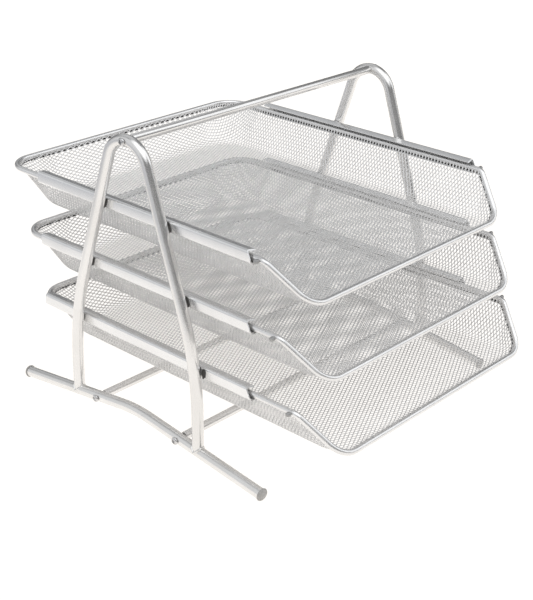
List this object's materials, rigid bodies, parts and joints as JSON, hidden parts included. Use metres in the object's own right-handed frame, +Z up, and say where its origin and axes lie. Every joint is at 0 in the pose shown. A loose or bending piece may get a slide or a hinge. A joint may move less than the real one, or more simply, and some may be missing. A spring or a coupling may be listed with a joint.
{
  "type": "desktop file sorter",
  "caption": "Tiered desktop file sorter: mesh letter trays with low front lips slide in channel rails between A-shaped tube frames joined by a carry handle.",
  "frame": {"origin": "centre of the footprint at rest, on the desk surface under the foot caps", "axes": "+X to the right and +Y to the back as seen from the front, where the trays pull out; +Z up"},
  "size_m": [0.2934, 0.353, 0.2464],
  "materials": {
    "frame_paint": "satin silver metallic paint on steel tube",
    "rail_paint": "satin silver metallic paint on folded sheet steel",
    "rim_paint": "satin silver metallic paint on steel rod",
    "mesh_paint": "silver metallic paint on fine steel mesh",
    "zinc_steel": "bright zinc-plated steel",
    "insert_steel": "plain steel",
    "cap_plastic": "satin grey plastic"
  },
  "bodies": {
    "frame": {"left_a_frame": "frame_paint", "left_foot_bar": "frame_paint", "right_a_frame": "frame_paint", "right_foot_bar": "frame_paint", "front_left_foot_cap": "cap_plastic", "rear_left_foot_cap": "cap_plastic", "front_right_foot_cap": "cap_plastic", "rear_right_foot_cap": "cap_plastic", "left_top_rail": "rail_paint", "left_middle_rail": "rail_paint", "left_bottom_rail": "rail_paint", "right_top_rail": "rail_paint", "right_middle_rail": "rail_paint", "right_bottom_rail": "rail_paint", "handle_bar": "frame_paint", "left_handle_screw": "zinc_steel", "left_handle_insert": "insert_steel", "right_handle_screw": "zinc_steel", "right_handle_insert": "insert_steel", "front_cross_bar": "frame_paint", "front_left_cross_screw": "zinc_steel", "front_left_cross_insert": "insert_steel", "front_right_cross_screw": "zinc_steel", "front_right_cross_insert": "insert_steel", "rear_cross_bar": "frame_paint", "rear_left_cross_screw": "zinc_steel", "rear_left_cross_insert": "insert_steel", "rear_right_cross_screw": "zinc_steel", "rear_right_cross_insert": "insert_steel"},
    "top_tray": {"top_tray_rim": "rim_paint", "top_tray_basket": "mesh_paint", "top_tray_left_stop_pin": "zinc_steel", "top_tray_right_stop_pin": "zinc_steel"},
    "middle_tray": {"middle_tray_rim": "rim_paint", "middle_tray_basket": "mesh_paint", "middle_tray_left_stop_pin": "zinc_steel", "middle_tray_right_stop_pin": "zinc_steel"},
    "bottom_tray": {"bottom_tray_rim": "rim_paint", "bottom_tray_basket": "mesh_paint", "bottom_tray_left_stop_pin": "zinc_steel", "bottom_tray_right_stop_pin": "zinc_steel"}
  },
  "joints": [
    {"name": "top_tray_slide", "type": "slide", "parent": "frame", "child": "top_tray", "axis": [0, -1, 0], "range_m": [-0.003, 0.15]},
    {"name": "middle_tray_slide", "type": "slide", "parent": "frame", "child": "middle_tray", "axis": [0, -1, 0], "range_m": [-0.0187, 0.1343]},
    {"name": "bottom_tray_slide", "type": "slide", "parent": "frame", "child": "bottom_tray", "axis": [0, -1, 0], "range_m": [-0.035, 0.118]}
  ]
}
